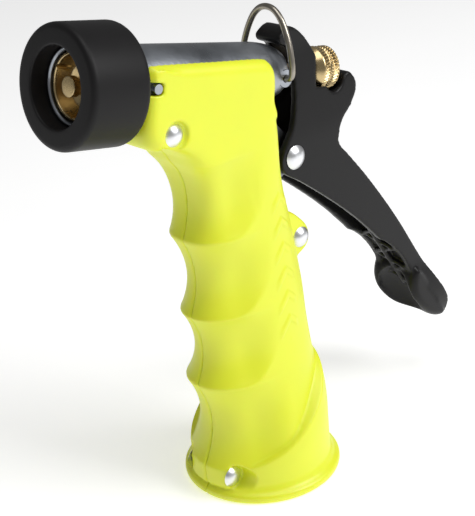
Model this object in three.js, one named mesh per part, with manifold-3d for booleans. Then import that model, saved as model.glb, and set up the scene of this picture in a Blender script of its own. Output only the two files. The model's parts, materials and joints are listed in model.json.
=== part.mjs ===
// Pistol-grip hose spray nozzle with a rear squeeze lever.
// Millimetres, +Z up along the handle, +X towards the outlet, +Y to the nozzle's left side.
// The nozzle stands on the flat lip of its cuff, and the barrel is pitched up from the X axis.

import * as THREE from 'three';
import { mergeVertices } from 'three/addons/utils/BufferGeometryUtils.js';
import Module from 'manifold-3d';

// ---- driving dimensions -------------------------------------------------------------------

const HANDLE_X = 9.3;                  // the cuff's axis, from the middle of the bounding box
const PITCH = THREE.MathUtils.degToRad(11.64);
const BARREL = { x: 53.6, z: 126.6 };  // centre of the guard's front face, from the cuff's axis
const GAP = 0.3;                       // clearance between fixed pieces
const PARTING = 0.15;                  // each grip half stands this far off the middle plane

const GUARD = { radius: 14.9, length: 16.8, mouth: 9.5, edge: 1.6 };
const BARREL_R = { front: 9.3, rear: 8.0 };
const BARREL_X = { front: -9.0, dome: -61.5, rear: -70.3 };   // along the barrel axis
const BORE_R = 6.2;
const GLAND_R = 3.8;
const STEM_R = 1.9;
const STEM_X = { tip: -3.8, rear: -91.4 };
const NUT = { radius: 6.1, front: -81, rear: -89.8 };

const TUBE = { x: 2.5, radius: 8, bore: 5.5, bottom: 20, top: 112 };
const SOCKET = { radius: 15.6, bore: 13.3, bottom: 3, floor: 16, top: 17.5, neck: 25 };
const LIP = { radius: 22.25, height: 2.6 };
const CUFF = { radius: 20.3, topRadius: 19.5, low: 9.5, high: 36 };
const GRIP_HALF = 11.7;
const GRIP_TOP = 5.5;                  // the open top edge, above the barrel axis
const WALL = 2.6;

const PIVOT = { x: -14.2, z: 90.3 };
const LUG = { radius: 4.8, half: 3.3 };
const LEVER_WALL = 2.1;
const WIRE_R = 0.85;
const BAIL = { x: -67.5, z: -0.6, half: 9.2, end: 4.8 };

const RIVETS = {
  grip_rivet_top: { x: 28.7, z: 109.8, shank: 1.5, head: 2.9, seat: 10.3 },
  grip_rivet_middle: { x: -15.6, z: 66.5, shank: 1.5, head: 2.9, seat: 4.6 },
  grip_rivet_bottom: { x: 18.3, z: 7.2, shank: 1.1, head: 2.0, seat: 7.1 },
};
const HEAD_HEIGHT = 1.4;

// ---- materials ----------------------------------------------------------------------------

const finish = (color, roughness, metalness) =>
  new THREE.MeshStandardMaterial({ color, roughness, metalness });
const YELLOW = finish(0xdfe93c, 0.45, 0);
const BLACK = finish(0x262527, 0.5, 0);
const RUBBER = finish(0x1c1c1e, 0.7, 0);
const ZINC = finish(0x8f949a, 0.35, 1);
const BRASS = finish(0xc79a4b, 0.3, 1);
const STEEL = finish(0xc9ccd0, 0.25, 1);

// ---- solid modelling ----------------------------------------------------------------------

const wasm = await Module();
wasm.setup();

function solid(geometry) {
  const bare = geometry.clone();
  bare.deleteAttribute('normal');
  bare.deleteAttribute('uv');
  const merged = mergeVertices(bare, 1e-4);
  const mesh = new wasm.Mesh({
    numProp: 3,
    vertProperties: new Float32Array(merged.attributes.position.array),
    triVerts: new Uint32Array(merged.index.array),
  });
  return new wasm.Manifold(mesh);
}

const join = (...shapes) => shapes.reduce((whole, shape) => whole.add(shape));
const cut = (shape, ...tools) => tools.reduce((whole, tool) => whole.subtract(tool), shape);

function geometryOf(shape) {
  const mesh = shape.getMesh();
  const geometry = new THREE.BufferGeometry();
  geometry.setAttribute('position', new THREE.BufferAttribute(mesh.vertProperties, 3));
  geometry.setIndex(new THREE.BufferAttribute(mesh.triVerts, 1));
  return geometry;
}

function piece(parent, name, shape, material) {
  const geometry = shape.isBufferGeometry ? shape : geometryOf(shape);
  const mesh = new THREE.Mesh(geometry, material);
  mesh.name = name;
  parent.add(mesh);
}

const points = (pairs) => pairs.map(([a, b]) => new THREE.Vector2(a, b));

// A body turned about X: the profile is [distance along X, radius], rear to front.
function turnedX(profile, segments = 32) {
  const lathe = new THREE.LatheGeometry(points(profile.map(([x, r]) => [r, x])), segments);
  return lathe.rotateZ(-Math.PI / 2);
}

// A body turned about Z: the profile is [height, radius], bottom to top.
function turnedZ(profile, x = 0, segments = 32) {
  const lathe = new THREE.LatheGeometry(points(profile.map(([z, r]) => [r, z])), segments);
  return lathe.rotateX(Math.PI / 2).translate(x, 0, 0);
}

const rodX = (x0, x1, radius, segments = 24) =>
  turnedX([[x0, 0], [x0, radius], [x1, radius], [x1, 0]], segments);
const rodZ = (z0, z1, radius, x = 0, segments = 32) =>
  turnedZ([[z0, 0], [z0, radius], [z1, radius], [z1, 0]], x, segments);

// A plate with an [x, z] outline, from y0 to y1.
function plate(outline, y0, y1, bevel = 0) {
  const shape = new THREE.Shape(points(outline));
  const geometry = new THREE.ExtrudeGeometry(shape, {
    depth: y1 - y0 - 2 * bevel,
    bevelEnabled: bevel > 0,
    bevelThickness: bevel,
    bevelSize: bevel,
    bevelOffset: -bevel,
    bevelSegments: 2,
    curveSegments: 1,
  });
  return geometry.rotateX(Math.PI / 2).translate(0, y1 - bevel, 0);
}

// A smooth closed outline through [x, z] points.
function smooth(pairs, samples) {
  const curve = new THREE.CatmullRomCurve3(
    pairs.map(([x, z]) => new THREE.Vector3(x, 0, z)), true, 'centripetal');
  return curve.getPoints(samples).slice(0, samples).map((p) => [p.x, p.z]);
}

// A round bar across the nozzle, from y0 to y1.
const barY = (x, z, y0, y1, radius, segments = 20) =>
  new THREE.CylinderGeometry(radius, radius, y1 - y0, segments).translate(x, (y0 + y1) / 2, z);

const block = (x0, x1, y0, y1, z0, z1) => new THREE.BoxGeometry(x1 - x0, y1 - y0, z1 - z0)
  .translate((x0 + x1) / 2, (y0 + y1) / 2, (z0 + z1) / 2);

// A skin over a stack of rings, each with the same number of points, closed at both ends.
function loft(rings) {
  const count = rings[0].length;
  const position = rings.flat(2);
  const index = [];
  for (let i = 0; i + 1 < rings.length; i++) {
    for (let j = 0; j < count; j++) {
      const a = i * count + j;
      const b = i * count + (j + 1) % count;
      index.push(a, b, b + count, a, b + count, a + count);
    }
  }
  const last = (rings.length - 1) * count;
  for (let j = 1; j + 1 < count; j++) {
    index.push(0, j + 1, j, last, last + j, last + j + 1);
  }
  const geometry = new THREE.BufferGeometry();
  geometry.setAttribute('position', new THREE.Float32BufferAttribute(position, 3));
  geometry.setIndex(index);
  return geometry;
}

// ---- frames -------------------------------------------------------------------------------

const barrelMatrix = new THREE.Matrix4().makeRotationY(-PITCH)
  .setPosition(BARREL.x, 0, BARREL.z);
const onBarrel = (geometry) => geometry.applyMatrix4(barrelMatrix);

// The [x, z] of a place given along and above the barrel axis.
function barrelPoint([along, above]) {
  const p = new THREE.Vector3(along, 0, above).applyMatrix4(barrelMatrix);
  return [p.x, p.z];
}

const group = new THREE.Group();
const nozzle = new THREE.Group();
nozzle.position.x = HANDLE_X;
group.add(nozzle);
const barrel = new THREE.Group();
barrel.position.set(BARREL.x, 0, BARREL.z);
barrel.rotation.y = -PITCH;
nozzle.add(barrel);

// ---- zinc body ----------------------------------------------------------------------------

const barrelProfile = (grow) => [
  [BARREL_X.rear - grow, 0],
  [BARREL_X.rear - grow, 5.2 + grow],
  [-69.3, 6.1 + grow],
  [-67, 7.0 + grow],
  [-64.4, 7.7 + grow],
  [BARREL_X.dome, BARREL_R.rear + grow],
  [BARREL_X.front + grow, BARREL_R.front + grow],
  [BARREL_X.front + grow, 0],
];

const socketProfile = (grow) => [
  [SOCKET.bottom - 10 * grow, 0],
  [SOCKET.bottom - 10 * grow, SOCKET.radius + grow],
  [SOCKET.top, SOCKET.radius + grow],
  [SOCKET.neck, TUBE.radius + 1 + grow],
  [SOCKET.neck, 0],
];

const lugOutline = (grow) => {
  const arc = [];
  for (let i = 0; i <= 8; i++) {
    const a = Math.PI / 2 + 0.3 + (i / 8) * (Math.PI - 0.5);
    const r = LUG.radius + grow;
    arc.push([PIVOT.x + r * Math.cos(a), PIVOT.z + r * Math.sin(a)]);
  }
  return [[0, 80 - grow], [0, 107], [-6.5, 106 + grow], ...arc];
};

const castingOutside = (grow) => join(
  solid(onBarrel(turnedX(barrelProfile(grow)))),
  solid(turnedZ(socketProfile(grow))),
  solid(rodZ(TUBE.bottom, TUBE.top, TUBE.radius + grow, TUBE.x)),
  solid(plate(lugOutline(grow), -LUG.half - grow, LUG.half + grow)),
  solid(onBarrel(barY(-21.4, 0.2, -GRIP_HALF + 0.4 - grow, GRIP_HALF - 0.4 + grow, 1.2 + grow, 12))),
);

function bodyCasting() {
  const gland = BARREL_X.rear + 10;
  return cut(
    castingOutside(0),
    solid(onBarrel(rodX(gland, BARREL_X.front + 1, BORE_R))),
    solid(onBarrel(rodX(BARREL_X.rear - 1, gland + 1, GLAND_R + 0.1))),
    solid(rodZ(SOCKET.bottom - 1, SOCKET.floor, SOCKET.bore)),
    solid(rodZ(SOCKET.floor - 1, TUBE.top, TUBE.bore, TUBE.x, 20)),
    solid(barY(PIVOT.x, PIVOT.z, -9, 9, 2.3)),
    ...[-1, 1].map((side) => solid(onBarrel(
      barY(BAIL.x, BAIL.z, side > 0 ? 4.5 : -9, side > 0 ? 9 : -4.5, WIRE_R + 0.25, 12)))),
  );
}
piece(nozzle, 'body_casting', bodyCasting(), ZINC);

// ---- grip ---------------------------------------------------------------------------------

// Handle stations: height, front, back, half width, squareness.
const STATIONS = [
  [8, 17.6, -17.6, 17, 2],
  [20, 17.7, -18, 16.4, 2.1],
  [27, 19, -18.4, 14.9, 2.2],
  [34.5, 21.6, -18.4, 13.4, 2.2],
  [43, 18.2, -18, 12.6, 2.2],
  [49, 19.8, -17.7, 12.4, 2.2],
  [55, 21.6, -17, 12.3, 2.2],
  [61, 19.8, -16.2, 12.1, 2.2],
  [66, 18.4, -15.4, 12, 2.3],
  [72, 19.8, -13.8, 11.8, 2.5],
  [77, 21.5, -12.2, 11.7, 2.8],
  [84, 19.6, -9.6, 11.4, 3.2],
  [90, 18.6, -8.2, 11.3, 3.5],
  [97, 21.5, -7.4, 11.5, 3.6],
  [108, 22.5, -6.6, GRIP_HALF, 3.8],
];

function section([z, front, back, half, power], inset, count) {
  const middle = (front + back) / 2;
  const depth = (front - back) / 2 - inset;
  const ring = [];
  for (let i = 0; i < count; i++) {
    const a = (i / count) * 2 * Math.PI;
    const bend = (v) => Math.sign(v) * Math.abs(v) ** (2 / power);
    ring.push([middle + depth * bend(Math.cos(a)), (half - inset) * bend(Math.sin(a)), z]);
  }
  return ring;
}

function grip() {
  const handle = solid(loft(STATIONS.map((s) => section(s, 0, 24))));
  const hollow = solid(loft(STATIONS.slice(2).map((s) => section(s, WALL, 16))));
  const cuff = cut(
    solid(turnedZ([
      [0, 0], [0, LIP.radius - 0.8], [0.8, LIP.radius], [LIP.height, LIP.radius],
      [LIP.height + 0.6, CUFF.radius], [CUFF.high + 4, CUFF.topRadius], [CUFF.high + 4, 0],
    ], 0, 48)),
    // The cuff's slanted top edge climbs from the front to the back.
    solid(plate([
      [-25, CUFF.high + 3], [25, CUFF.low - 3.5], [25, 60], [-25, 60],
    ], -30, 30)),
  );
  const nose = [
    ...[
      [-61, 0], [-60.2, 3], [-57.6, GRIP_TOP - 0.8], [-54.5, GRIP_TOP], [-20.5, GRIP_TOP],
      [-18.6, GRIP_TOP - 2], [-18.6, -10], [-20, -13.8], [-23.2, -15.2],
    ].map(barrelPoint),
    [25, 102.4], [21.8, 98], [20, 92], [-6, 92], [-5.6, 104],
  ];
  const housing = solid(plate(nose.reverse(), -GRIP_HALF, GRIP_HALF, 1.6));
  const tab = solid(plate(smooth([
    [-8, 60], [-14.5, 61.5], [-18.6, 64], [-18.9, 68], [-16.5, 71.5], [-11, 75],
  ], 16), -4.6, 4.6));
  const shell = join(cut(handle, hollow), cuff, housing, tab);
  const sockets = Object.values(RIVETS).flatMap((r) => [
    solid(barY(r.x, r.z, -25, 25, r.shank + 0.1, 14)),
    solid(barY(r.x, r.z, r.seat, r.seat + 20, r.head + 0.7, 16)),
    solid(barY(r.x, r.z, -r.seat - 20, -r.seat, r.head + 0.7, 16)),
  ]);
  const notch = solid(onBarrel(block(-22.9, -15, -30, 30, -1.4, 1.6)));
  const barrelRoom = solid(onBarrel(rodX(-90, -10, BARREL_R.front + GAP, 32)));
  const openTop = solid(onBarrel(block(-90, -10, -8.6, 8.6, 0, 12)));
  const lugSlot = solid(block(-30, 0, -LUG.half - GAP, LUG.half + GAP, 80, 112));
  const socketRoom = solid(rodZ(-1, SOCKET.bottom, SOCKET.radius + GAP));
  return cut(
    shell, castingOutside(GAP), barrelRoom, openTop, lugSlot, socketRoom, notch, ...sockets);
}

const wholeGrip = grip();
for (const [name, y0, y1] of [['grip_left', PARTING, 40], ['grip_right', -40, -PARTING]]) {
  piece(nozzle, name, wholeGrip.intersect(solid(block(-60, 60, y0, y1, -1, 150))), YELLOW);
}

// ---- rivets -------------------------------------------------------------------------------

function rivet({ x, z, shank, head, seat }) {
  const dome = (side) => {
    const y = side * (seat + GAP / 3);
    const profile = [[0, 0], [head, 0], [head * 0.93, 0.5], [head * 0.62, 1.1], [0, HEAD_HEIGHT]];
    const lathe = new THREE.LatheGeometry(points(profile), 16);
    return solid((side > 0 ? lathe : lathe.rotateX(Math.PI)).translate(x, y, z));
  };
  return join(solid(barY(x, z, -seat - 0.3, seat + 0.3, shank, 14)), dome(1), dome(-1));
}
for (const [name, size] of Object.entries(RIVETS)) {
  piece(nozzle, name, rivet(size), STEEL);
}

// ---- lever --------------------------------------------------------------------------------

const LEVER_OUTLINE = [
  [-16.4, 119.3], [-14, 120.6], [-13.3, 122.2], [-15.2, 123.8], [-17.8, 124.4], [-20.8, 122.6], [-24, 118.7],
  [-26.2, 114.5], [-27, 110], [-28.3, 105.8], [-31.2, 103.6], [-34, 104.4], [-36, 106.9],
  [-38.2, 107.2], [-40, 103.4], [-37.8, 99.3], [-33.6, 95.6], [-31.6, 92], [-31.6, 88.7],
  [-35.5, 84], [-43.3, 74.3], [-53.7, 59.7], [-62.9, 44.9], [-69.8, 34.3], [-74.2, 27],
  [-74.9, 22.4], [-73, 21], [-68.2, 28.6], [-63.6, 34.2], [-59.2, 39.6],
  [-50.8, 50.1], [-42.5, 59.4], [-34.6, 67.3], [-24.9, 75.7], [-15.8, 82.9], [-10.8, 86.4],
  [-9.3, 89.8], [-11.2, 93.9], [-14.8, 98.8], [-16.7, 105.3], [-17.3, 111], [-17.2, 116.5],
];

// The room inside the channel, open towards the handle.
const LEVER_HOLLOW = [
  [-10, 112], [-18.6, 117.6], [-21.4, 112.5], [-23, 107.2], [-25.6, 102.5], [-30, 99.4],
  [-29.2, 96], [-29, 88], [-33.6, 81.6], [-41.4, 72], [-51.6, 57.8], [-60.4, 43.6], [-64.5, 37.2],
  [-55, 37.2], [-20, 60], [0, 90],
];

// Half width of the lever at each height.
const LEVER_WIDTHS = [
  [10, 5], [21, 7.4], [25, 8.8], [30, 9.2], [36, 8.2], [41, 6.9],
  [95, 6.8], [108, 5.6], [118, 4.5], [130, 4.3],
];

function levelBand(inset) {
  const side = LEVER_WIDTHS.map(([z, half]) => [half - inset, z]);
  const mirrored = [...side].reverse().map(([y, z]) => [-y, z]);
  const shape = new THREE.Shape(points([...mirrored, ...side]));
  const geometry = new THREE.ExtrudeGeometry(shape, { depth: 100, bevelEnabled: false });
  return geometry.rotateX(Math.PI / 2).rotateZ(Math.PI / 2).translate(-90, 0, 0);
}

function triggerLever() {
  const side = solid(plate(smooth(LEVER_OUTLINE, 84), -12, 12));
  const hollow = solid(plate([...LEVER_HOLLOW].reverse(), -12, 12));
  const room = hollow.intersect(solid(levelBand(LEVER_WALL)));
  const slot = solid(onBarrel(block(-86, -70, -2.6, 2.6, -3.4, 8.4)));
  const nutRoom = solid(onBarrel(rodX(NUT.rear - 0.8, NUT.front + GAP, NUT.radius + 0.5)));
  const stemRoom = solid(onBarrel(rodX(STEM_X.rear - 0.6, -80, STEM_R + 0.6, 12)));
  const overNut = solid(onBarrel(block(-95, NUT.front + GAP, -7.5, 7.5, 0, 9)));
  return cut(
    side.intersect(solid(levelBand(0))),
    room,
    slot,
    nutRoom,
    overNut,
    stemRoom,
    solid(barY(PIVOT.x, PIVOT.z, -12, 12, 2.3)),
  );
}
piece(nozzle, 'trigger_lever', triggerLever(), BLACK);

// The rivet's shank turns in the lever and the lug; its heads hold the two cheeks.
piece(nozzle, 'pivot_rivet', rivet({ ...PIVOT, shank: 2.1, head: 3.4, seat: 7 }), STEEL);

// ---- outlet -------------------------------------------------------------------------------

function frontGuard() {
  const e = GUARD.edge;
  const back = -GUARD.length;
  return turnedX([
    [back, BARREL_R.front + GAP], [back, GUARD.radius - 0.9], [back + 0.9, GUARD.radius],
    [-e, GUARD.radius], [-e * 0.3, GUARD.radius - e * 0.3], [0, GUARD.radius - e],
    [0, GUARD.mouth + 0.5], [-0.6, GUARD.mouth], [-8.4, GUARD.mouth],
    [-8.6, BARREL_R.front + GAP], [back, BARREL_R.front + GAP],
  ], 36);
}
piece(barrel, 'front_guard', frontGuard(), RUBBER);

const nozzleInsert = () => turnedX([
  [-17.5, 4.6], [-17.5, 5.9], [-8.8, 5.9], [-8.6, 8.9], [-5.2, 8.9], [-5.2, 7.7], [-9.4, 3.9],
  [-12.6, 2.9], [-17.5, 4.6],
], 32);
piece(barrel, 'nozzle_insert', nozzleInsert(), BRASS);

// ---- stem and valve, all on the barrel axis -------------------------------------------------

piece(barrel, 'valve_stem', turnedX([
  [STEM_X.rear, 0], [STEM_X.rear, STEM_R], [-24, STEM_R], [-14, STEM_R], [-12, 2.2],
  [-5.6, 2.5], [STEM_X.tip, 2.3], [STEM_X.tip, 0],
], 16), BRASS);

const ring = (x0, x1, inner, outer, segments = 20) => turnedX([
  [x0, inner], [x0, outer], [x1, outer], [x1, inner], [x0, inner],
], segments);

piece(barrel, 'washer_retainer', ring(-21.6, -19.2, STEM_R + GAP, 4, 6), BRASS);
piece(barrel, 'seat_washer', ring(-23.6, -21.9, STEM_R + GAP, 5.4), RUBBER);
piece(barrel, 'spring_collar', ring(-26.6, -23.9, STEM_R + GAP, 5.6), BRASS);

function returnSpring() {
  const turns = 6;
  const from = -58.6;
  const to = -27.6;
  class Helix extends THREE.Curve {
    getPoint(t, target = new THREE.Vector3()) {
      const a = t * turns * 2 * Math.PI;
      return target.set(from + t * (to - from), 4.3 * Math.cos(a), 4.3 * Math.sin(a));
    }
  }
  const wire = new THREE.Shape().absarc(0, 0, 0.55, 0, 2 * Math.PI);
  return new THREE.ExtrudeGeometry(wire, {
    extrudePath: new Helix(), steps: turns * 10, curveSegments: 3,
  });
}
piece(barrel, 'return_spring', returnSpring(), STEEL);

piece(barrel, 'packing_ring', ring(-62.4, -60.6, STEM_R + GAP, GLAND_R - 0.2), RUBBER);
piece(barrel, 'packing_gland', ring(-71.6, -62.7, STEM_R + GAP, GLAND_R - 0.2), BRASS);

function adjustingNut() {
  const outer = (x) => {
    const across = (x - NUT.rear) / (NUT.front - NUT.rear);
    const groove = Math.exp(-(((across - 0.45) / 0.07) ** 2)) * 0.5;
    return NUT.radius - groove;
  };
  const profile = [[NUT.rear, STEM_R + GAP], [NUT.rear, 4.4], [NUT.rear + 0.6, 5.6]];
  for (let x = NUT.rear + 1.4; x < NUT.front - 2.4; x += 1.1) {
    profile.push([x, outer(x)]);
  }
  profile.push([NUT.front - 2.2, NUT.radius], [NUT.front, 3.6], [NUT.front, STEM_R + GAP]);
  return turnedX([...profile, profile[0]], 24);
}
piece(barrel, 'adjusting_nut', adjustingNut(), BRASS);

// ---- hold-open bail -----------------------------------------------------------------------

// One bent wire: both ends turn in to the sides of the body, and the loop stands over the barrel.
const BAIL_LEAN = 0.1;
const BAIL_PATH = [
  [BAIL.end, 0], [BAIL.half - 1.9, 0], [BAIL.half - 0.6, 0.4], [BAIL.half, 1.7], [BAIL.half - 0.2, 4],
  [8.2, 8.4], [7, 12], [5.4, 14.9], [3, 17], [0, 17.7],
];

function holdOpenBail() {
  const half = BAIL_PATH.map(([y, up]) => new THREE.Vector3(
    BAIL.x + up * Math.sin(BAIL_LEAN), y, BAIL.z + up * Math.cos(BAIL_LEAN)));
  const other = half.slice(0, -1).reverse().map((p) => new THREE.Vector3(p.x, -p.y, p.z));
  const path = new THREE.CatmullRomCurve3([...half, ...other], false, 'centripetal');
  const wire = new THREE.Shape().absarc(0, 0, WIRE_R, 0, 2 * Math.PI);
  return new THREE.ExtrudeGeometry(wire, { extrudePath: path, steps: 40, curveSegments: 3 });
}
piece(barrel, 'hold_open_bail', holdOpenBail(), STEEL);

// ---- hose socket ---------------------------------------------------------------------------

const washerTop = SOCKET.floor - GAP;
piece(nozzle, 'hose_washer', turnedZ([
  [washerTop - 3, 8], [washerTop - 3, SOCKET.bore - GAP], [washerTop, SOCKET.bore - GAP],
  [washerTop, 8], [washerTop - 3, 8],
]), RUBBER);
piece(nozzle, 'inlet_screen', turnedZ([
  [washerTop - 2, 0], [washerTop - 2, 7.6], [washerTop - 0.8, 7.6], [washerTop - 0.8, 0],
]), STEEL);

export default group;
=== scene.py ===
"""Hose spray nozzle: fine meshes, materials, floor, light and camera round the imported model.

Shapes are drawn in millimetres in one of two frames and moved to metres at the end. The cuff
frame has its origin at the middle of the cuff's foot and the row's axes. The barrel frame has
its origin at the middle of the guard's front face, +X forward along the barrel and +Y as before.
"""
import json
import math

import bmesh
import bpy
import numpy as np
from mathutils import Matrix, Vector


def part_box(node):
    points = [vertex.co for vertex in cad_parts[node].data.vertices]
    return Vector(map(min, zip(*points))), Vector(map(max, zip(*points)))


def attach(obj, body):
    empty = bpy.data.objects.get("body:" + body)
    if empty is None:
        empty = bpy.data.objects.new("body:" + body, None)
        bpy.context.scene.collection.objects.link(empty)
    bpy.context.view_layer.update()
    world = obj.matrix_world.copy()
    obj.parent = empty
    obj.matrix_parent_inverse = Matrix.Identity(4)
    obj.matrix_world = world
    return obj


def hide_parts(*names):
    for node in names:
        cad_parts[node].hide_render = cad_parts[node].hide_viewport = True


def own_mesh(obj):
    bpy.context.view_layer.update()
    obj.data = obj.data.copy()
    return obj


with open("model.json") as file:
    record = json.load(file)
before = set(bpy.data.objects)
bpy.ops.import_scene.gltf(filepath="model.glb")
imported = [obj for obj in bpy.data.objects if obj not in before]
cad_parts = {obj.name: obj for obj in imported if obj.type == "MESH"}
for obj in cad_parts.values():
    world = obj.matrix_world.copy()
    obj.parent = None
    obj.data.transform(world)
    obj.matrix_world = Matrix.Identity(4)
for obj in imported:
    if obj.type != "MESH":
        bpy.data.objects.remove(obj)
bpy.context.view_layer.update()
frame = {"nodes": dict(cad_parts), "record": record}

# ---- sizes, in millimetres ------------------------------------------------------------------

MM = 0.001
PITCH = math.radians(11.64)

GUARD_R, GUARD_LENGTH, MOUTH_R = 14.82, 16.8, 9.6
BARREL_FRONT_R, BARREL_REAR_R = 9.3, 8.0
BARREL_FRONT, DOME, BARREL_REAR = -9.0, -61.5, -70.3
BORE_R, GLAND_R, REAR_WALL = 6.2, 3.9, 10
STEM_R, STEM_TIP, STEM_REAR = 1.9, -3.8, -91.4
NUT_R, NUT_FRONT, NUT_REAR, NUT_MIDDLE = 6.1, -81.0, -89.8, -85.4

LIP_R, CUFF_R, CUFF_TOP_R = 22.25, 20.3, 19.5
CUFF_LOW, CUFF_HIGH = 9.5, 33.2
SOCKET_R, SOCKET_BORE, SOCKET_BOTTOM, SOCKET_FLOOR = 15.6, 13.3, 3.0, 16.0
SOCKET_TOP, NECK_TOP, NECK_R = 17.5, 25, 9.0
TUBE_X, TUBE_LOW, TUBE_HIGH, TUBE_R, TUBE_BORE = 2.5, 20, 112, 8.0, 5.5
GRIP_HALF, GRIP_TOP = 11.7, 5.5
HANDLE_LOW, HANDLE_HIGH = 4, 108
CLEAR = 0.3

PIVOT = (-14.2, 90.3)
LUG_R, LUG_HALF = 4.8, 3.3
LEVER_WALL = 2.1
WIRE_R = 0.85
BAIL_PIVOT = (-67.5, -0.6)
BAIL_LEAN = 0.1
PEG, PEG_R = (-21.4, 0.2), 1.2

GRIP_VOXEL, LEVER_VOXEL, QUICK_VOXEL = 0.38, 0.34, 0.6

# Rivets across the grip: place, shank, head and how far out the head sits.
RIVET_DOME = 1.4
RIVETS = {
    "grip_rivet_top": dict(x=28.7, z=109.8, shank=1.5, head=2.8, seat=10.3),
    "grip_rivet_middle": dict(x=-15.6, z=66.5, shank=1.5, head=2.9, seat=5.6),
    "grip_rivet_bottom": dict(x=18.3, z=7.2, shank=1.1, head=2.9, seat=7.6),
    "pivot_rivet": dict(x=PIVOT[0], z=PIVOT[1], shank=2.1, head=3.3, seat=7.0),
}

# ---- the two drawing frames -----------------------------------------------------------------


def joint(name):
    """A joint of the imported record."""
    return next(j for j in frame["record"]["behaviour"]["joints"] if j["name"] == name)


low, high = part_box("hose_washer")
CUFF_X = (low[0] + high[0]) / 2
CUFF = Matrix.Translation((CUFF_X, 0, 0)) @ Matrix.Scale(MM, 4)
nut_turn = joint("nut_turn")
ALONG = Vector(nut_turn["axis"]).normalized()
guard_front = Vector(nut_turn["pos_m"]) - ALONG * NUT_MIDDLE * MM
BARREL = Matrix.Translation(guard_front) @ Matrix.Rotation(-PITCH, 4, "Y") @ Matrix.Scale(MM, 4)
BARREL_IN_CUFF = CUFF.inverted() @ BARREL


def in_cuff(along, above):
    """The cuff frame's (x, z) of a place on the barrel frame's middle plane."""
    p = BARREL_IN_CUFF @ Vector((along, 0, above))
    return p.x, p.z


# ---- mesh tools -----------------------------------------------------------------------------


def make(name, verts, faces):
    """A linked mesh object, with doubled points merged and faces turned outwards."""
    mesh = bpy.data.meshes.new(name)
    mesh.from_pydata([tuple(v) for v in verts], [], faces)
    bm = bmesh.new()
    bm.from_mesh(mesh)
    bmesh.ops.remove_doubles(bm, verts=bm.verts, dist=1e-5)
    bmesh.ops.recalc_face_normals(bm, faces=bm.faces)
    bm.to_mesh(mesh)
    bm.free()
    obj = bpy.data.objects.new(name, mesh)
    bpy.context.scene.collection.objects.link(obj)
    return obj


def apply(obj):
    """Bakes obj's modifiers into its mesh."""
    shown = obj.evaluated_get(bpy.context.evaluated_depsgraph_get())
    mesh = bpy.data.meshes.new_from_object(shown)
    obj.modifiers.clear()
    obj.data = mesh
    return obj


def boolean(obj, tools, operation):
    """Joins each tool to obj's mesh by the operation, and removes the tool."""
    for tool in tools:
        mod = obj.modifiers.new("cut", "BOOLEAN")
        mod.operation = operation
        mod.solver = "MANIFOLD"
        mod.object = tool
        apply(obj)
        bpy.data.objects.remove(tool)
    return obj


def cut(obj, *tools):
    return boolean(obj, tools, "DIFFERENCE")


def unite(obj, *tools):
    return boolean(obj, tools, "UNION")


def moulded(obj, voxel, passes):
    """Remeshes a rough solid finely and rounds its edges, as a mould would."""
    mod = obj.modifiers.new("skin", "REMESH")
    mod.mode = "VOXEL"
    mod.voxel_size = voxel
    apply(obj)
    mod = obj.modifiers.new("round", "SMOOTH")
    mod.factor = 0.5
    mod.iterations = passes
    return apply(obj)


def full_turn(count):
    """Equally spaced angles round a circle."""
    return [2 * math.pi * i / count for i in range(count)]


def stack(name, verts, around, looped=False):
    """A skin over rings of points, capped at both ends or looped from the last to the first."""
    rings = len(verts) // around
    faces = []
    for k in range(rings if looped else rings - 1):
        a, b = k * around, (k + 1) % rings * around
        for i in range(around):
            j = (i + 1) % around
            faces.append((a + i, a + j, b + j, b + i))
    if not looped:
        faces.append(tuple(range(around - 1, -1, -1)))
        faces.append(tuple(range(len(verts) - around, len(verts))))
    return make(name, verts, faces)


def place(obj, matrix, body, node, material, smooth_angle=35):
    """Moves a finished mesh into the row frame, gives it its finish and body, and hides the CAD
    part it replaces.
    """
    obj.data.transform(matrix)
    obj.data.update()
    for polygon in obj.data.polygons:
        polygon.use_smooth = True
    obj.data.set_sharp_from_angle(angle=math.radians(smooth_angle))
    obj.data.materials.clear()
    obj.data.materials.append(material)
    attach(obj, body)
    if node:
        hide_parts(node)
    return obj


def rounded(profile, radius, steps=5):
    """Softens the corners of an open profile of (along, radius) points."""
    points = [Vector(p) for p in profile]
    out = [tuple(points[0])]
    for before, corner, after in zip(points, points[1:], points[2:]):
        into, away = before - corner, after - corner
        reach = min(radius, into.length * 0.45, away.length * 0.45)
        start, end = corner + into.normalized() * reach, corner + away.normalized() * reach
        for i in range(steps + 1):
            t = i / steps
            out.append(tuple(start * (1 - t) ** 2 + corner * 2 * t * (1 - t) + end * t * t))
    out.append(tuple(points[-1]))
    return out


def lathe(name, profile, axis="X", segments=96, closed=False):
    """A body turned about X or Z from (along, radius) points.

    An open profile starts and ends on the axis. A closed one is joined from last to first."""
    verts, rings = [], []
    for along, radius in profile:
        angles = full_turn(segments) if radius > 1e-6 else [0]
        rings.append(range(len(verts), len(verts) + len(angles)))
        for a in angles:
            b, c = radius * math.cos(a), radius * math.sin(a)
            verts.append((along, b, c) if axis == "X" else (b, c, along))
    faces = []
    pairs = list(zip(rings, rings[1:])) + ([(rings[-1], rings[0])] if closed else [])
    for a, b in pairs:
        for i in range(segments):
            j = (i + 1) % segments
            if len(a) == 1 and len(b) > 1:
                faces.append((a[0], b[j], b[i]))
            elif len(b) == 1 and len(a) > 1:
                faces.append((a[i], a[j], b[0]))
            elif len(a) > 1:
                faces.append((a[i], a[j], b[j], b[i]))
    return make(name, verts, faces)


def bar(name, start, end, radius, segments=48):
    """A round bar between two points."""
    start, end = Vector(start), Vector(end)
    turn = (end - start).to_track_quat("Z", "Y").to_matrix()
    verts = [middle + turn @ Vector((radius * math.cos(a), radius * math.sin(a), 0))
             for middle in (start, end) for a in full_turn(segments)]
    return stack(name, verts, segments)


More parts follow.
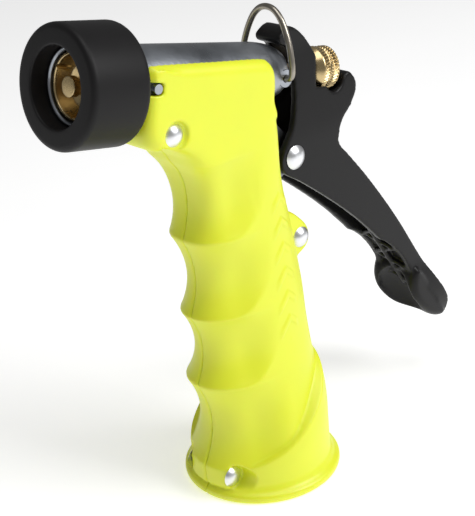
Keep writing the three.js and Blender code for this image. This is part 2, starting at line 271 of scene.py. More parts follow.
def crossbar(name, at, reach, radius, segments=48):
    """A bar along Y at an (x, z) place, between the two y values of reach."""
    start, end = ((at[0], y, at[1]) for y in reach)
    return bar(name, start, end, radius, segments)


def ellipsoid(name, centre, lean, axes):
    """An ellipsoid whose first axis leans up from +X by lean degrees."""
    arc = [(math.sin(t), math.cos(t)) for t in np.linspace(-math.pi / 2, math.pi / 2, 25)]
    obj = lathe(name, arc, segments=48)
    obj.data.transform(Matrix.Translation(centre) @ Matrix.Rotation(math.radians(-lean), 4, "Y")
                       @ Matrix.Diagonal((*axes, 1)))
    return obj


def block(name, low, high, matrix=Matrix()):
    """A box between two corners, turned by the matrix."""
    corners = [matrix @ Vector((x, y, z)) for z in (low[2], high[2])
               for y in (low[1], high[1]) for x in (low[0], high[0])]
    return make(name, corners, [(0, 2, 3, 1), (4, 5, 7, 6), (0, 1, 5, 4), (2, 6, 7, 3),
                                (0, 4, 6, 2), (1, 3, 7, 5)])


def spline(points, per_span=8, closed=True):
    """Catmull-Rom curve through the points."""
    p = [Vector(q) for q in points]
    count = len(p)
    out = []
    for i in range(count if closed else count - 1):
        if closed:
            a, b, c, d = (p[(i + k) % count] for k in (-1, 0, 1, 2))
        else:
            a, b, c, d = p[max(i - 1, 0)], p[i], p[i + 1], p[min(i + 2, count - 1)]
        for s in range(per_span):
            t = s / per_span
            out.append(0.5 * ((2 * b) + (c - a) * t + (2 * a - 5 * b + 4 * c - d) * t * t
                              + (3 * b - 3 * c + d - a) * t ** 3))
    if not closed:
        out.append(p[-1])
    return out


def plate(name, outline, half, edge=0.0, steps=5):
    """A plate with an (x, z) outline, 2 * half thick, its rims rounded by edge."""
    ring = [Vector(q) for q in outline]
    count = len(ring)
    area = sum(a.x * b.y - b.x * a.y for a, b in zip(ring, ring[1:] + ring[:1]))
    turn = 1 if area > 0 else -1
    inward = []
    for i in range(count):
        along = ring[(i + 1) % count] - ring[i - 1]
        inward.append(Vector((-along.y, along.x)).normalized() * turn)
    layers = [(-1, s) for s in range(steps + 1)] + [(1, s) for s in range(steps, -1, -1)]
    if edge == 0:
        layers = [(-1, steps), (1, steps)]
    verts = []
    for side, s in layers:
        a = math.pi / 2 * s / steps
        for p, n in zip(ring, inward):
            q = p + n * edge * (1 - math.sin(a))
            verts.append((q.x, side * (half - edge * (1 - math.cos(a))), q.y))
    return stack(name, verts, count)


def tube(name, path, radius, sides):
    """A round wire along a path, with flat ends."""
    path = [Vector(p) for p in path]
    verts, up = [], None
    for i, p in enumerate(path):
        tangent = (path[min(i + 1, len(path) - 1)] - path[max(i - 1, 0)]).normalized()
        up = up or tangent.orthogonal()
        up = (up - tangent * up.dot(tangent)).normalized()
        side = tangent.cross(up)
        verts += [p + (up * math.cos(a) + side * math.sin(a)) * radius for a in full_turn(sides)]
    return stack(name, verts, sides)


# ---- materials ------------------------------------------------------------------------------


def material(name, color, rough, metal=0.0, spread=0.06, grain=900, bump=0.1, rough_spread=0.08,
             bump_grain=None, **shader):
    """A procedural finish: colour and roughness drift over the surface, with a fine bump."""
    mat = bpy.data.materials.new(name)
    mat.use_nodes = True
    nodes, links = mat.node_tree.nodes, mat.node_tree.links
    bsdf = nodes["Principled BSDF"]
    bsdf.inputs["Metallic"].default_value = metal
    for key, value in shader.items():
        bsdf.inputs[key.replace("_", " ")].default_value = value
    where = nodes.new("ShaderNodeTexCoord")
    broad = nodes.new("ShaderNodeTexNoise")
    broad.inputs["Scale"].default_value = grain / 6
    broad.inputs["Detail"].default_value = 4
    ramp = nodes.new("ShaderNodeValToRGB")
    ramp.color_ramp.elements[0].position = 0.3
    ramp.color_ramp.elements[0].color = [max(c * (1 - spread), 0) for c in color] + [1]
    ramp.color_ramp.elements[1].position = 0.7
    ramp.color_ramp.elements[1].color = [min(c * (1 + spread), 1) for c in color] + [1]
    shine = nodes.new("ShaderNodeMapRange")
    shine.inputs["To Min"].default_value = max(rough - rough_spread, 0.02)
    shine.inputs["To Max"].default_value = rough + rough_spread
    fine = nodes.new("ShaderNodeTexNoise")
    fine.inputs["Scale"].default_value = bump_grain or grain
    fine.inputs["Detail"].default_value = 3
    raised = nodes.new("ShaderNodeBump")
    raised.inputs["Strength"].default_value = bump
    raised.inputs["Distance"].default_value = 0.0002
    links.new(where.outputs["Object"], broad.inputs["Vector"])
    links.new(where.outputs["Object"], fine.inputs["Vector"])
    links.new(broad.outputs["Fac"], ramp.inputs["Fac"])
    links.new(broad.outputs["Fac"], shine.inputs["Value"])
    links.new(fine.outputs["Fac"], raised.inputs["Height"])
    links.new(ramp.outputs["Color"], bsdf.inputs["Base Color"])
    links.new(shine.outputs["Result"], bsdf.inputs["Roughness"])
    links.new(raised.outputs["Normal"], bsdf.inputs["Normal"])
    return mat


GRIP_YELLOW = material("grip_yellow", (0.80, 0.86, 0.022), 0.42, spread=0.02, grain=500,
                       bump=0.06, bump_grain=2600, Specular_IOR_Level=0.75,
                       Subsurface_Weight=0.12, Subsurface_Scale=0.002)
LEVER_BLACK = material("lever_black", (0.007, 0.0066, 0.007), 0.38, spread=0.15, grain=700,
                       bump=0.12, bump_grain=3200, Specular_IOR_Level=0.22)
GUARD_BLACK = material("guard_black", (0.008, 0.0075, 0.008), 0.5, spread=0.15, grain=500,
                       bump=0.08, bump_grain=2500, Specular_IOR_Level=0.22)
SEAL_BLACK = material("seal_black", (0.02, 0.02, 0.02), 0.6, spread=0.2, bump=0.15)
CAST_ZINC = material("cast_zinc", (0.31, 0.33, 0.36), 0.3, 1.0, spread=0.34, grain=420, bump=0.35,
                     rough_spread=0.16, bump_grain=700)
BRASS = material("brass", (0.60, 0.46, 0.24), 0.27, 1.0, spread=0.12, grain=700, bump=0.15,
                 rough_spread=0.1)
RIVET_METAL = material("rivet_metal", (0.80, 0.81, 0.83), 0.36, 1.0, spread=0.06, grain=900,
                       bump=0.15)
WIRE_STEEL = material("wire_steel", (0.36, 0.33, 0.28), 0.3, 1.0, spread=0.25, grain=900,
                      bump=0.15)

# ---- grip -----------------------------------------------------------------------------------

# Handle stations, front left out: height, back, half width, squareness.
STATIONS = np.array([
    (4, -17.5, 18.0, 2.0), (12, -18.0, 18.0, 2.0), (20, -18.4, 17.0, 2.1), (27, -18.4, 15.2, 2.2),
    (34.5, -17.9, 13.7, 2.2), (43, -17.2, 12.6, 2.2), (55, -16.2, 12.3, 2.2),
    (66, -14.3, 12.0, 2.3), (77, -11.6, 11.8, 2.7), (84, -9.4, 11.7, 3.2), (90, -7.9, 11.7, 3.9),
    (97, -7.0, 11.7, 5.0), (102, -6.3, 11.7, 6.5), (108, -5.4, GRIP_HALF, 8.0),
])
# Where the handle's front runs, as (height, x): it sweeps forward under the barrel.
HANDLE_FRONT = np.array([(0, 21.6), (93, 21.6), (96, 21.8), (99, 22.5), (102, 24.2), (104, 26.2),
                         (106, 29.4), (108, 34.0)])
# Finger scallops: from, to, depth at the front.
SCALLOPS = [(9.5, 34.5, 4.0), (34.5, 55, 3.3), (55, 77, 3.2), (77, 99, 3.0)]
# The scallops fade in over this stretch of x, from the flank to the front.
SIDE_REACH = (1.0, 15.0)
# Slanted ribs on the flanks: middle line, reach to each side, low and high end, pitch, height.
RIB_X, RIB_REACH, RIB_LOW, RIB_HIGH, RIB_PITCH, RIB_RISE = -3.4, 4.2, 42, 86, 7, 0.32


def smoothstep(value):
    """An easy rise from 0 to 1."""
    value = np.clip(value, 0, 1)
    return value * value * (3 - 2 * value)


def stations_at(z):
    """Smooth interpolation of the handle stations."""
    key = STATIONS[:, 0]
    slopes = np.gradient(STATIONS[:, 1:], key, axis=0)
    i = int(np.clip(np.searchsorted(key, z) - 1, 0, len(key) - 2))
    span = key[i + 1] - key[i]
    t = (z - key[i]) / span
    h = (2 * t ** 3 - 3 * t ** 2 + 1, t ** 3 - 2 * t ** 2 + t,
         -2 * t ** 3 + 3 * t ** 2, t ** 3 - t ** 2)
    return (h[0] * STATIONS[i, 1:] + h[1] * span * slopes[i]
            + h[2] * STATIONS[i + 1, 1:] + h[3] * span * slopes[i + 1])


def scallop_depth(x, z):
    """How far the finger scallops press in at a place on the handle."""
    q = np.clip((x - SIDE_REACH[0]) / (SIDE_REACH[1] - SIDE_REACH[0]), 0, 1)
    depth = np.zeros_like(q)
    for start, end, front in SCALLOPS:
        rise = (1 - q) ** 2 * 0.5 * (end - start)
        u = np.clip((z - start - rise) / (end - start - rise), 0, 1)
        depth += front * np.sin(math.pi * u) ** 0.8 * smoothstep(q)
    return depth


def handle():
    """The handle: rounded sections up the stations, pressed in by the scallops."""
    around, levels = 128, 150
    angle = np.linspace(0, 2 * math.pi, around, endpoint=False)
    verts = []
    for z in np.linspace(HANDLE_LOW, HANDLE_HIGH, levels):
        back, half, power = stations_at(z)
        front = np.interp(z, HANDLE_FRONT[:, 0], HANDLE_FRONT[:, 1])
        middle, depth = (front + back) / 2, (front - back) / 2
        x = middle + depth * np.sign(np.cos(angle)) * np.abs(np.cos(angle)) ** (2 / power)
        y = half * np.sign(np.sin(angle)) * np.abs(np.sin(angle)) ** (2 / power)
        shrink = 1 - scallop_depth(x, z) / np.hypot(x - middle, y)
        verts += [(middle + (a - middle) * s, b * s, z) for a, b, s in zip(x, y, shrink)]
    return stack("handle", verts, around)


def cuff():
    """The cuff, whose top edge climbs in a curve from the front to the back."""
    columns = 160
    verts = []
    for a in full_turn(columns):
        back = (1 - math.cos(a)) / 2
        top = CUFF_LOW + (CUFF_HIGH - CUFF_LOW) * back ** 1.35
        soft = back ** 3
        edge_r = CUFF_R + (CUFF_TOP_R - CUFF_R) * top / CUFF_HIGH
        profile = [(0.0, 2.0), (0.0, 21.3), (0.3, 21.9), (1.0, LIP_R), (1.9, LIP_R), (2.5, 21.9),
                   (2.9, 21.2), (3.4, 20.6), (4.2, CUFF_R)]
        for k in range(9):
            t = k / 8
            shoulder = (1.0 + 3 * soft) * (1 - t)
            profile.append((4.8 + (top - 4.8 - shoulder) * t if k < 8 else top,
                            edge_r - (0.2 + 1.1 * soft) * max(t - 0.6, 0) ** 2 * 6))
        profile += [(top + 0.7, edge_r - 2.2 - 1.8 * soft), (top + 1.6, 8.0)]
        verts += [(r * math.cos(a), r * math.sin(a), z) for z, r in profile]
    rows = len(verts) // columns
    faces = []
    for c in range(columns):
        n = (c + 1) % columns
        for k in range(rows - 1):
            faces.append((c * rows + k, n * rows + k, n * rows + k + 1, c * rows + k + 1))
    faces.append(tuple(c * rows for c in range(columns - 1, -1, -1)))
    faces.append(tuple(c * rows + rows - 1 for c in range(columns)))
    return make("cuff", verts, faces)


def housing():
    """The top of the grip, on both sides of the barrel."""
    edge = [in_cuff(*p) for p in [
        (-61.1, -5), (-60.9, -1), (-60, 2.6), (-57.8, 4.8), (-54.5, GRIP_TOP), (-40, GRIP_TOP),
        (-22, GRIP_TOP), (-19.6, 4.9), (-18.7, 3), (-18.6, -4), (-18.7, -10), (-20.2, -13.7),
        (-23.2, -15.3)]]
    edge += [(31, 107.6), (27, 106.6), (20, 104.6), (11, 102), (3, 102), (-5.4, 104)]
    return plate("housing", spline(edge, 6), GRIP_HALF, 3.2, 8)


def grip_solid():
    """Both halves in one, with room for the casting, the lever's lug and the rivets."""
    tab = plate("tab", spline([(-8, 59), (-14.5, 61.3), (-18.4, 63.6), (-19.1, 67.2),
                               (-17, 71), (-11, 75.5), (-5, 72), (-5, 62)], 6), 5.6, 1.0)
    whole = unite(handle(), cuff(), housing(), tab)
    barrel = lathe("room", [(-95, 0), (-95, BARREL_FRONT_R + CLEAR), (-10, BARREL_FRONT_R + CLEAR),
                            (-10, 0)], segments=64)
    barrel.data.transform(BARREL_IN_CUFF)
    over = block("over", (-95, -8.9, 0), (-10, 8.9, 14), BARREL_IN_CUFF)
    notch = block("notch", (-22.9, -30, -1.4), (-15, 30, 1.7), BARREL_IN_CUFF)
    lug = block("lug", (-30, -LUG_HALF - CLEAR, 80), (0, LUG_HALF + CLEAR, 112))
    socket = lathe("socket", [(-1, 0), (-1, SOCKET_R + CLEAR),
                              (SOCKET_TOP + 0.1, SOCKET_R + CLEAR),
                              (NECK_TOP, NECK_R + CLEAR), (NECK_TOP, 0)], "Z", 64)
    waterway = bar("waterway", (TUBE_X, 0, TUBE_LOW), (TUBE_X, 0, TUBE_HIGH), TUBE_R + CLEAR)
    cut(whole, barrel, over, notch, lug, socket, waterway)
    for name in ("grip_rivet_top", "grip_rivet_middle", "grip_rivet_bottom"):
        size = RIVETS[name]
        at = size["x"], size["z"]
        cut(whole, crossbar("hole", at, (-25, 25), size["shank"] + 0.1, 24))
        for side in (-1, 1):
            reach = side * size["seat"], side * 40
            cut(whole, crossbar("pocket", at, reach, size["head"] + 0.8))
    return whole


def chevrons(obj):
    """Raised slanted ribs on the flanks, towards the back: a plain grip pattern."""
    count = len(obj.data.vertices)
    spots, normal = np.empty(count * 3), np.empty(count * 3)
    obj.data.vertices.foreach_get("co", spots)
    obj.data.vertex_normals.foreach_get("vector", normal)
    spots, normal = spots.reshape(-1, 3), normal.reshape(-1, 3)
    x, y, z = spots.T
    outward = normal[:, 1] * np.sign(y)
    middle = RIB_X - (z - (RIB_LOW + RIB_HIGH) / 2) * 0.03
    across = np.clip(3 - 3 * np.abs(x - middle) / RIB_REACH, 0, 1)
    ends = np.clip(np.minimum(z - RIB_LOW, RIB_HIGH - z) / 3, 0, 1)
    phase = (z + 0.9 * np.abs(x - RIB_X)) / RIB_PITCH * 2 * math.pi
    stripe = smoothstep((np.cos(phase) - 0.35) / 0.4)
    flank = (np.abs(y) > 6) * np.clip(outward * 4 - 1, 0, 1)
    rise = RIB_RISE * stripe * across * ends * flank
    obj.data.vertices.foreach_set("co", (spots + normal * rise[:, None]).ravel())
    obj.data.update()


def grip():
    """The two halves, cut apart on the middle plane."""
    whole = grip_solid()
    for node, low_y, high_y in (("grip_left", 0.02, 40), ("grip_right", -40, -0.02)):
        half = whole.copy()
        half.data = whole.data.copy()
        bpy.context.scene.collection.objects.link(half)
        boolean(half, [block("side", (-70, low_y, -5), (70, high_y, 160))], "INTERSECT")
        moulded(half, GRIP_VOXEL, 5)
        chevrons(half)
        half.name = node + "_shell"
        place(half, CUFF, "body", node, GRIP_YELLOW, 60)
    bpy.data.objects.remove(whole)


# ---- body casting ---------------------------------------------------------------------------


def body_casting():
    """Barrel, socket, handle tube and lever lug in one, with the bail's bosses and the pegs."""
    length = BARREL_FRONT - DOME
    taper = [(DOME + length * t, BARREL_REAR_R + (BARREL_FRONT_R - BARREL_REAR_R) * t)
             for t in np.linspace(0, 1, 22)]
    outside = rounded([(BARREL_REAR, 0), (BARREL_REAR, 4.8), (-69.4, 6.0), (-67.2, 7.0),
                       (-64.6, 7.6)] + taper + [(BARREL_FRONT, 0)], 0.9)
    shell = lathe("casting", outside)
    for side in (-1, 1):
        unite(shell, crossbar("boss", BAIL_PIVOT, (side * 3, side * 7.1), 2.3))
    peg = crossbar("peg", PEG, (-GRIP_HALF + 0.4, GRIP_HALF - 0.4), PEG_R)
    rib = plate("rib", spline([(-70, 4), (-69.4, -2), (-66, -8.5), (-60, -12), (-56, -6),
                               (-56, 4)], 6), 3.1, 0.6)
    unite(shell, peg, rib)
    bore_end = BARREL_REAR + REAR_WALL
    cut(shell, bar("bore", (bore_end, 0, 0), (BARREL_FRONT + 1, 0, 0), BORE_R),
        bar("gland", (BARREL_REAR - 1, 0, 0), (bore_end + 1, 0, 0), GLAND_R))
    for side in (-1, 1):
        cut(shell, crossbar("eye", BAIL_PIVOT, (side * 4.5, side * 9), WIRE_R + 0.2, 24))
    shell.data.transform(BARREL_IN_CUFF)
    socket = lathe("socket", rounded([(SOCKET_BOTTOM, 0), (SOCKET_BOTTOM, SOCKET_R),
                                      (SOCKET_TOP, SOCKET_R), (NECK_TOP, NECK_R),
                                      (NECK_TOP, 0)], 0.8), "Z")
    tube_body = bar("tube", (TUBE_X, 0, TUBE_LOW), (TUBE_X, 0, TUBE_HIGH), TUBE_R, 64)
    arc = [(PIVOT[0] + LUG_R * math.cos(a), PIVOT[1] + LUG_R * math.sin(a))
           for a in np.linspace(math.pi / 2 + 0.3, 3 * math.pi / 2 - 0.2, 24)]
    lug = plate("lug", [(0, 80), (0, 107), (-6.5, 106)] + arc, LUG_HALF, 0.5)
    unite(shell, socket, tube_body, lug)
    cut(shell, bar("throat", (0, 0, SOCKET_BOTTOM - 1), (0, 0, SOCKET_FLOOR), SOCKET_BORE, 96),
        bar("way", (TUBE_X, 0, SOCKET_FLOOR - 1), (TUBE_X, 0, TUBE_HIGH), TUBE_BORE),
        crossbar("eye", PIVOT, (-9, 9), 2.3))
    place(shell, CUFF, "body", "body_casting", CAST_ZINC)


def hose_thread():
    """A few turns of a rounded ridge round the socket."""
    turns, pitch, steps, radius = 3.2, 2.2, 40, SOCKET_BORE - 0.05
    path = []
    for i in range(int(turns * steps) + 1):
        a = 2 * math.pi * i / steps
        path.append((radius * math.cos(a), radius * math.sin(a),
                     SOCKET_BOTTOM + 1.6 + pitch * i / steps))
    thread = tube("hose_thread", path, 0.55, 8)
    place(thread, CUFF, "body", None, CAST_ZINC)


# ---- outlet, stem and valve -----------------------------------------------------------------


def front_guard():
    """The soft guard, a hair behind the CAD guard's front face."""
    back, front = -GUARD_LENGTH, -0.1
    profile = rounded([(back, 11), (back, GUARD_R), (front, GUARD_R), (front, 11)], 2.0, 10)
    profile += rounded([(front, 10.9), (front, MOUTH_R), (-8.5, MOUTH_R)], 0.7, 5)
    profile.append((back, BARREL_FRONT_R + CLEAR))
    guard = lathe("guard_sleeve", profile, closed=True, segments=160)
    place(guard, BARREL, "body", "front_guard", GUARD_BLACK, 50)


def nozzle_insert():
    """The brass cup with three notches, and the bright rim round it."""
    cup = lathe("outlet_cup", rounded([
        (-17.5, 4.6), (-17.5, 5.9), (-8.8, 5.9), (-8.6, 8.1), (-5.4, 8.1), (-5.2, 7.3),
        (-6.6, 6.9), (-9.0, 5.9), (-10.6, 4.0), (-12.6, 2.9)], 0.35, 3), closed=True, segments=128)
    for k in range(3):
        a = 2 * math.pi * k / 3 + 0.5
        notch = bar("notch", (-8.3, 6.2 * math.cos(a), 6.2 * math.sin(a)),
                    (-4, 6.9 * math.cos(a), 6.9 * math.sin(a)), 0.8, 24)
        cut(cup, notch)
    place(cup, BARREL, "body", "nozzle_insert", BRASS)
    rim = lathe("outlet_rim", rounded([(-8.4, 8.4), (-8.4, 9.2), (-4.6, 9.2), (-4.6, 8.75),
                                       (-5.0, 8.4)], 0.2, 3), closed=True, segments=128)
    place(rim, BARREL, "body", None, CAST_ZINC)


def valve_stem():
    """The stem, and three guide wings that hold its tip in the middle of the cup."""
    stem = lathe("stem_rod", rounded([
        (STEM_REAR, 0), (STEM_REAR, STEM_R), (-14, STEM_R), (-12, 2.3), (-8.2, 2.5), (-7.4, 2.1),
        (-6.2, 2.1), (-5.8, 2.5), (STEM_TIP, 2.5), (STEM_TIP, 0)], 0.3, 4), segments=64)
    place(stem, BARREL, "stem", "valve_stem", BRASS)
    for k in range(3):
        a = 2 * math.pi * k / 3 - 0.55
        across = STEM_R * math.cos(a), STEM_R * math.sin(a)
        wing = bar("stem_wing_%d" % k, (-12.5, *across), (-8.0, *across), 0.95, 24)
        place(wing, BARREL, "stem", None, BRASS)


def adjusting_nut():
    """A brass nut with two knurled bands and a groove between them."""
    around, teeth = 320, 40
    span = NUT_FRONT - NUT_REAR
    rows = [(0.0, STEM_R + 0.2, 0), (0.0, 4.3, 0), (0.03, 4.9, 0), (0.07, 5.35, 0)]
    for t in np.linspace(0.1, 0.72, 46):
        band = min(abs(t - 0.24), abs(t - 0.56))
        groove = 0.75 * math.exp(-((t - 0.40) / 0.055) ** 2)
        rows.append((t, NUT_R - 0.1 - groove, float(smoothstep((0.13 - band) / 0.03))))
    rows += [(0.76, 5.75, 0), (0.88, 4.8, 0), (0.97, 3.9, 0), (1.0, 3.4, 0),
             (1.0, STEM_R + 0.2, 0)]
    verts = []
    for t, radius, knurl in rows:
        x = NUT_REAR + t * span
        for a in full_turn(around):
            slant = teeth * a + x * 3.4
            r = radius - 0.42 * knurl * (0.5 - 0.5 * math.cos(slant)) ** 1.5
            verts.append((x, r * math.cos(a), r * math.sin(a)))
    nut = stack("knurled_nut", verts, around, looped=True)
    place(nut, BARREL, "nut", "adjusting_nut", BRASS, 50)


# ---- lever ----------------------------------------------------------------------------------

# The lever from the side, as (x, z): its outline, and the room inside it.
LEVER_OUTLINE = [
    (-16.4, 119.3), (-14.0, 120.6), (-13.3, 122.2), (-15.2, 123.8), (-17.8, 124.4), (-20.8, 122.6),
    (-24, 118.7), (-26.2, 114.5), (-27, 110), (-28.3, 105.8), (-31.2, 103.6), (-34, 104.4),
    (-36, 106.9), (-38.2, 107.2), (-40, 103.4), (-37.8, 99.3), (-33.6, 95.6), (-31.6, 92),
    (-31.6, 88.7), (-35.5, 84), (-43.3, 74.3), (-53.7, 59.7), (-62.9, 44.9), (-69.8, 34.3),
    (-74.0, 27), (-74.6, 22.4), (-72.8, 21), (-68.2, 28.6), (-63.6, 34.2), (-59.2, 39.6),
    (-50.8, 50.1), (-42.5, 59.4), (-34.6, 67.3), (-24.9, 75.7), (-15.8, 82.9), (-10.8, 86.4),
    (-9.3, 89.8), (-11.2, 93.9), (-14.8, 98.8), (-16.7, 105.3), (-17.3, 111), (-17.2, 116.5),
]
LEVER_HOLLOW = [
    (-10, 112), (-18.6, 117.6), (-21.4, 112.5), (-23, 107.2), (-25.6, 102.5), (-29, 99.6),
    (-28, 96), (-27.6, 89), (-32, 81.2), (-39.8, 71.4), (-50, 57.3), (-58.9, 43.4),
    (-65.6, 32.6), (-66.4, 27), (-62, 26), (-52, 37), (-20, 60), (0, 90),
]
# Height and half width.
LEVER_WIDTHS = np.array([
    (10, 5.0), (21, 7.4), (25, 8.8), (30, 9.2), (36, 8.2), (41, 6.9), (95, 6.8), (108, 5.6),
    (118, 4.5), (130, 4.3)])


def lever_half(z):
    """The lever's half width at a height."""
    near = z + np.arange(-2, 3)
    return float(np.mean(np.interp(near, LEVER_WIDTHS[:, 0], LEVER_WIDTHS[:, 1])))


def beside_lever(inset):
    """What lies beyond each cheek, as two solids, with the cheeks moved in by inset."""
    heights = np.linspace(10, 130, 81)
    solids = []
    for side in (-1, 1):
        edge = [(side * (lever_half(z) - inset), z) for z in heights]
        edge += [(side * 15, 130), (side * 15, 10)]
        verts = [(x, y, z) for x in (-95, 10) for y, z in edge]
        solids.append(stack("beside", verts, len(edge)))
    return solids


def trigger_lever():
    """The lever: a hollow plate with a dished scoop at the tip and ribs in its channel."""
    body = cut(plate("lever", spline(LEVER_OUTLINE, 6), 11), *beside_lever(0))
    room = cut(plate("room", LEVER_HOLLOW, 11), *beside_lever(LEVER_WALL))
    nut = lathe("nut", [(NUT_REAR - 0.8, 0), (NUT_REAR - 0.8, NUT_R + 0.5),
                        (NUT_FRONT + CLEAR, NUT_R + 0.5), (NUT_FRONT + CLEAR, 0)], segments=64)
    nut.data.transform(BARREL_IN_CUFF)
    over = block("over", (-95, -7.5, 0), (NUT_FRONT + CLEAR, 7.5, 9), BARREL_IN_CUFF)
    slot = block("slot", (-86, -2.6, -3.4), (-70, 2.6, 8.4), BARREL_IN_CUFF)
    stem = bar("stem", BARREL_IN_CUFF @ Vector((STEM_REAR - 0.6, 0, 0)),
               BARREL_IN_CUFF @ Vector((-80, 0, 0)), STEM_R + 0.6, 24)
    cut(body, room, nut, over, slot, stem, crossbar("eye", PIVOT, (-12, 12), 2.25))
    pad = plate("pad", spline([(-61, 41), (-58.6, 36.6), (-59.4, 31.6), (-62.8, 26.6),
                               (-68, 22.0), (-72.4, 20.4), (-73.7, 22.4), (-71, 28),
                               (-66, 36)], 6), 8.6, 2.2, 6)
    dish = ellipsoid("dish", (-61.6, 0, 29.0), 59.5, (12.6, 6.9, 5.6))
    # The cheeks dip above the pad, and zigzag ribs stand on the web inside the channel.
    cut(body, ellipsoid("dip", (-51.5, 0, 44.8), 52, (13.5, 20, 4.6)))
    top, foot, count = Vector((-49.6, 0, 57.0)), Vector((-65.0, 0, 33.0)), 6
    corners = [top.lerp(foot, k / count) + Vector((0.5, 4.6 * (-1) ** k, -0.3))
               for k in range(count + 1)]
    ribs = [bar("rib", p, q, 0.75, 16) for p, q in zip(corners, corners[1:])]
    ribs.append(bar("rib", top + Vector((0.6, 0, -0.4)), foot + Vector((0.6, 0, -0.4)), 0.9, 16))
    unite(body, cut(pad, dish), *ribs)
    moulded(body, LEVER_VOXEL, 7)
    body.name = "lever_moulding"
    place(body, CUFF, "lever", "trigger_lever", LEVER_BLACK, 60)


# ---- small parts ----------------------------------------------------------------------------


def rivet(name, x, z, shank, head, seat):
    """A rivet with a domed head on each side."""
    profile = [(-seat - RIVET_DOME, 0)]
    for t in np.linspace(0.08, 1, 12):
        profile.append((-seat - RIVET_DOME * (1 - t ** 2.4), head * t))
    profile += [(-seat - 0.05, head * 0.98), (-seat - 0.02, shank)]
    profile += [(-a, r) for a, r in reversed(profile)]
    body = lathe(name + "_body", profile, segments=64)
    body.data.transform(Matrix.Translation((x, 0, z)) @ Matrix.Rotation(math.pi / 2, 4, "Z"))
    place(body, CUFF, "body", name, RIVET_METAL, 50)


def hold_open_bail():
    """A wire arch with its two ends in the casting's bosses."""
    half = [(4.8, 0), (7.0, 0), (8.4, 0.2), (9.1, 1.0), (9.25, 2.4), (9.0, 4.6), (8.1, 8.4),
            (6.7, 12), (4.9, 15), (2.6, 16.95), (0, 17.55)]
    points = half + [(-y, up) for y, up in reversed(half[:-1])]
    path = spline([(BAIL_PIVOT[0] + up * math.sin(BAIL_LEAN), y,
                    BAIL_PIVOT[1] + up * math.cos(BAIL_LEAN)) for y, up in points], 8, False)
    wire = tube("bail_wire", path, WIRE_R, 20)
    place(wire, BARREL, "bail", "hold_open_bail", WIRE_STEEL, 60)


def return_spring():
    """A coil round the stem."""
    rear, front, radius, wire = -58.6, -27.6, 4.3, 0.5
    turns, steps, travel = 6, 32, 13.2
    length = front - rear
    path = []
    for i in range(turns * steps + 1):
        a = 2 * math.pi * i / steps
        path.append((rear + length * i / (turns * steps),
                     radius * math.cos(a), radius * math.sin(a)))
    coil = tube("spring_coil", path, wire, 10)
    place(coil, BARREL, "body", "return_spring", WIRE_STEEL, 60)
    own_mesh(coil)


def inlet_screen():
    """Woven wire gauze in a pressed rim."""
    top = SOCKET_FLOOR - CLEAR
    rim = lathe("screen_rim", rounded([(top - 2, 6.7), (top - 2, 7.6), (top - 0.8, 7.6),
                                       (top - 0.8, 6.7)], 0.2, 3), "Z", 64, closed=True)
    place(rim, CUFF, "body", "inlet_screen", WIRE_STEEL)
    wires = []
    step, reach, weave, level = 0.9, 6.9, 0.17, top - 1.4
    for k in range(-7, 8):
        side = k * step
        half = math.sqrt(reach ** 2 - side ** 2)
        for lengthwise in (True, False):
            path = []
            for s in np.linspace(-half, half, 33):
                lift = weave * math.cos(math.pi * (s / step + k))
                path.append((s, side, level - lift) if lengthwise else (side, s, level + lift))
            wires.append(tube("wire", path, 0.15, 6))
    gauze = wires[0]
    bm = bmesh.new()
    for w in wires:
        bm.from_mesh(w.data)
    bm.to_mesh(gauze.data)
    bm.free()
    for w in wires[1:]:
        bpy.data.objects.remove(w)
    gauze.name = "screen_gauze"
    place(gauze, CUFF, "body", None, WIRE_STEEL)


def hose_washer():
    """The rubber ring on the socket's floor."""
    top, outer, inner, thick = SOCKET_FLOOR - CLEAR, SOCKET_BORE - CLEAR - 0.3, 8, 3
    ring = lathe("washer_ring", rounded([(top - thick, inner), (top - thick, outer), (top, outer),
                                         (top, inner)], 0.6), "Z", closed=True)
    place(ring, CUFF, "body", "hose_washer", SEAL_BLACK)


# ---- build ----------------------------------------------------------------------------------

grip()
body_casting()
hose_thread()
front_guard()
nozzle_insert()
valve_stem()
adjusting_nut()
trigger_lever()
for name, size in RIVETS.items():
    rivet(name, **size)
hold_open_bail()
return_spring()
inlet_screen()
hose_washer()

# CAD nodes out of sight that keep their mesh, and only get a finish.
HIDDEN = {
    "washer_retainer": BRASS, "seat_washer": SEAL_BLACK, "spring_collar": BRASS,
    "packing_ring": SEAL_BLACK, "packing_gland": BRASS,
}
for node, finish in HIDDEN.items():
    for holder in frame["nodes"][node].material_slots:
        holder.material = finish

# ---- floor, light and camera ----------------------------------------------------------------


# Metres and degrees from here on.
FLOOR_HALF = 2
LIGHT_TARGET = (0, 0, 0.07)
WORLD_LIGHT, WORLD_SEEN = 0.22, 1.0
CAMERA_AZIMUTH, CAMERA_ELEVATION, CAMERA_ROLL, CAMERA_LENS = 48.706, 24.45, -4.889, 94.03
# The camera's place from the middle of the cuff's foot.
CAMERA_X, CAMERA_Y, CAMERA_Z = 0.2192, 0.2461, 0.21445


def direction(azimuth, elevation):
    """The unit vector at an azimuth and an elevation in degrees."""
    a, e = math.radians(azimuth), math.radians(elevation)
    return Vector((math.cos(e) * math.cos(a), math.cos(e) * math.sin(a), math.sin(e)))


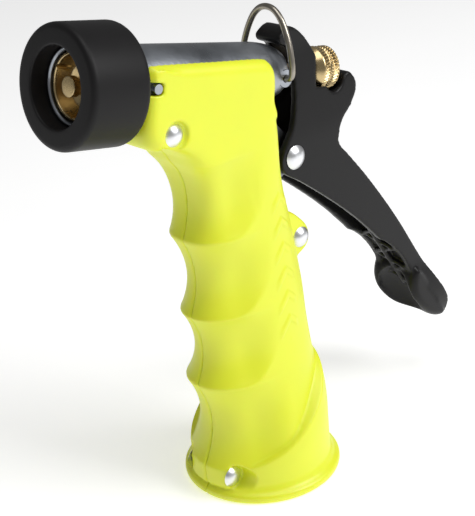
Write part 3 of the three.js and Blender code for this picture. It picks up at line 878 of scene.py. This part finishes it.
def stage():
    """A white floor and backdrop."""
    quarters = ((-1, -1), (1, -1), (1, 1), (-1, 1))
    floor = make("floor", [(x * FLOOR_HALF, y * FLOOR_HALF, 0) for x, y in quarters],
                 [(0, 1, 2, 3)])
    floor.data.materials.append(material(
        "floor_paint", (0.9, 0.9, 0.9), 0.7, spread=0.01, grain=60, bump=0.02,
        Emission_Color=(1, 1, 1, 1), Emission_Strength=0.45))
    world = bpy.data.worlds.new("studio")
    bpy.context.scene.world = world
    world.use_nodes = True
    nodes, links = world.node_tree.nodes, world.node_tree.links
    nodes["Background"].inputs["Color"].default_value = (1, 1, 1, 1)
    # The backdrop looks white, and lights the nozzle less than it looks.
    path = nodes.new("ShaderNodeLightPath")
    level = nodes.new("ShaderNodeMapRange")
    level.inputs["To Min"].default_value = WORLD_LIGHT
    level.inputs["To Max"].default_value = WORLD_SEEN
    links.new(path.outputs["Is Camera Ray"], level.inputs["Value"])
    links.new(level.outputs["Result"], nodes["Background"].inputs["Strength"])


def area_light(name, azimuth, elevation, distance, size, power):
    """A soft lamp that faces the middle of the nozzle."""
    away = direction(azimuth, elevation)
    light = bpy.data.lights.new(name, "AREA")
    light.size = size
    light.energy = power
    lamp = bpy.data.objects.new(name, light)
    lamp.location = Vector(LIGHT_TARGET) + away * distance
    lamp.rotation_euler = away.to_track_quat("Z", "Y").to_euler()
    bpy.context.scene.collection.objects.link(lamp)


def camera():
    """The photo's view."""
    back, roll = direction(CAMERA_AZIMUTH, CAMERA_ELEVATION), math.radians(CAMERA_ROLL)
    level = Vector((0, 0, 1)).cross(back).normalized()
    up = back.cross(level)
    right = math.cos(roll) * level + math.sin(roll) * up
    up = back.cross(right)
    data = bpy.data.cameras.new("camera")
    data.lens = CAMERA_LENS
    cam = bpy.data.objects.new("camera", data)
    turn = Matrix((right, up, back)).transposed().to_4x4()
    cam.matrix_world = Matrix.Translation((CUFF_X + CAMERA_X, CAMERA_Y, CAMERA_Z)) @ turn
    bpy.context.scene.collection.objects.link(cam)
    bpy.context.scene.camera = cam


stage()
area_light("key", 118, 38, 0.8, 0.4, 3.7)
area_light("top", 70, 78, 0.8, 0.5, 2.2)
camera()
bpy.context.scene.view_settings.view_transform = "Standard"
